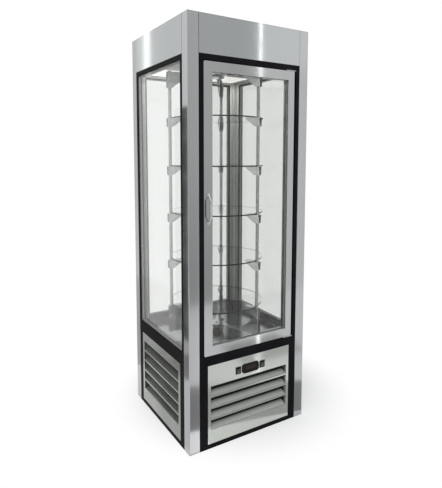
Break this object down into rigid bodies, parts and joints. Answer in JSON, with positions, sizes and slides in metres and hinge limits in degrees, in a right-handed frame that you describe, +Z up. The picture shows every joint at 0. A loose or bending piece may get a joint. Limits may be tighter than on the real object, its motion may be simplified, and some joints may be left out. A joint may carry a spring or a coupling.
{
  "type": "cake display case",
  "caption": "Tall refrigerated glass display case: steel corner posts, a hinged glass door, a turning stack of round glass shelves and a louvred base that holds the cooling unit.",
  "frame": {"origin": "on the underside, on the axis that the shelves turn about", "axes": "+X to the right across the front, +Y from the door to the back, +Z up"},
  "size_m": [0.628, 0.632, 1.85],
  "materials": {
    "stainless": "satin",
    "door_stainless": "satin, as drawn profile with a stainless look",
    "black_profile": "satin black",
    "window_glass": "clear",
    "shelf_glass": "clear with dark green edges",
    "spacer_bar": "mill",
    "black_rubber": "matte",
    "polished_steel": "polished",
    "machined_steel": "machined",
    "bearing_bronze": "machined",
    "foamed_panel": "smooth",
    "lamp_diffuser": "opal",
    "controller_black": "gloss",
    "switch_black": "satin",
    "rocker_black": "gloss",
    "galvanised": "galvanised",
    "machine_black": "gloss black paint",
    "coil_metal": "mill",
    "fan_plastic": "moulded"
  },
  "bodies": {
    "cabinet": {"post_front_left": "stainless", "post_front_right": "stainless", "post_back_left": "stainless", "post_back_right": "stainless", "header_front": "stainless", "header_left": "stainless", "header_right": "stainless", "header_back": "stainless", "roof_lid": "stainless", "frame_front": "black_profile", "frame_left": "black_profile", "frame_right": "black_profile", "frame_back": "black_profile", "glazing_left": "window_glass", "glazing_right": "window_glass", "glazing_back": "window_glass", "glazing_spacers": "spacer_bar", "glazing_beads": "black_profile", "insulated_floor": "foamed_panel", "deck_liner": "stainless", "insulated_ceiling": "foamed_panel", "ceiling_lamp": "lamp_diffuser", "grille_front": "stainless", "grille_left": "stainless", "grille_right": "stainless", "grille_back": "stainless", "controller": "controller_black", "switch_bezels": "switch_black", "hinge_plates": "machined_steel", "lower_bearing": "bearing_bronze", "upper_pivot": "machined_steel", "gearmotor": "machine_black", "base_tray": "galvanised", "compressor": "machine_black", "compressor_mounts": "black_rubber", "condenser": "coil_metal", "condenser_fan_shroud": "galvanised", "condenser_fan_motor": "machine_black", "drip_tray": "galvanised", "evaporator": "coil_metal", "evaporator_fan_motor": "machine_black"},
    "door": {"door_frame": "door_stainless", "door_glazing": "window_glass", "door_spacer": "spacer_bar", "door_gasket": "black_rubber", "door_handle": "polished_steel"},
    "carousel": {"lower_spider": "polished_steel", "upper_spider": "polished_steel", "carousel_rods": "polished_steel", "shelf_brackets": "polished_steel", "shelf_1": "shelf_glass", "shelf_2": "shelf_glass", "shelf_3": "shelf_glass", "shelf_4": "shelf_glass", "shelf_5": "shelf_glass", "drive_shaft": "machined_steel"},
    "condenser_fan": {"condenser_fan": "fan_plastic"},
    "evaporator_fan": {"evaporator_fan": "fan_plastic"},
    "switch_rocker_left": {"switch_rocker_left": "rocker_black"},
    "switch_rocker_right": {"switch_rocker_right": "rocker_black"}
  },
  "joints": [
    {"name": "door_hinge", "type": "hinge", "parent": "cabinet", "child": "door", "pos_m": [0.231, -0.292, 0.422], "axis": [0, 0, 1], "range_deg": [0, 100]},
    {"name": "carousel_turn", "type": "hinge", "parent": "cabinet", "child": "carousel", "pos_m": [0, 0, 0.4], "axis": [0, 0, 1], "continuous": true},
    {"name": "condenser_fan_spin", "type": "hinge", "parent": "cabinet", "child": "condenser_fan", "pos_m": [-0.116, -0.12, 0.1055], "axis": [0, 1, 0], "continuous": true},
    {"name": "evaporator_fan_spin", "type": "hinge", "parent": "cabinet", "child": "evaporator_fan", "pos_m": [-0.128, -0.12, 1.7], "axis": [0, 0, 1], "continuous": true},
    {"name": "switch_rocker_left_tilt", "type": "hinge", "parent": "cabinet", "child": "switch_rocker_left", "pos_m": [-0.066, -0.298, 0.321], "axis": [-1, 0, 0], "range_deg": [0, 14]},
    {"name": "switch_rocker_right_tilt", "type": "hinge", "parent": "cabinet", "child": "switch_rocker_right", "pos_m": [0.066, -0.298, 0.321], "axis": [-1, 0, 0], "range_deg": [0, 14]}
  ]
}
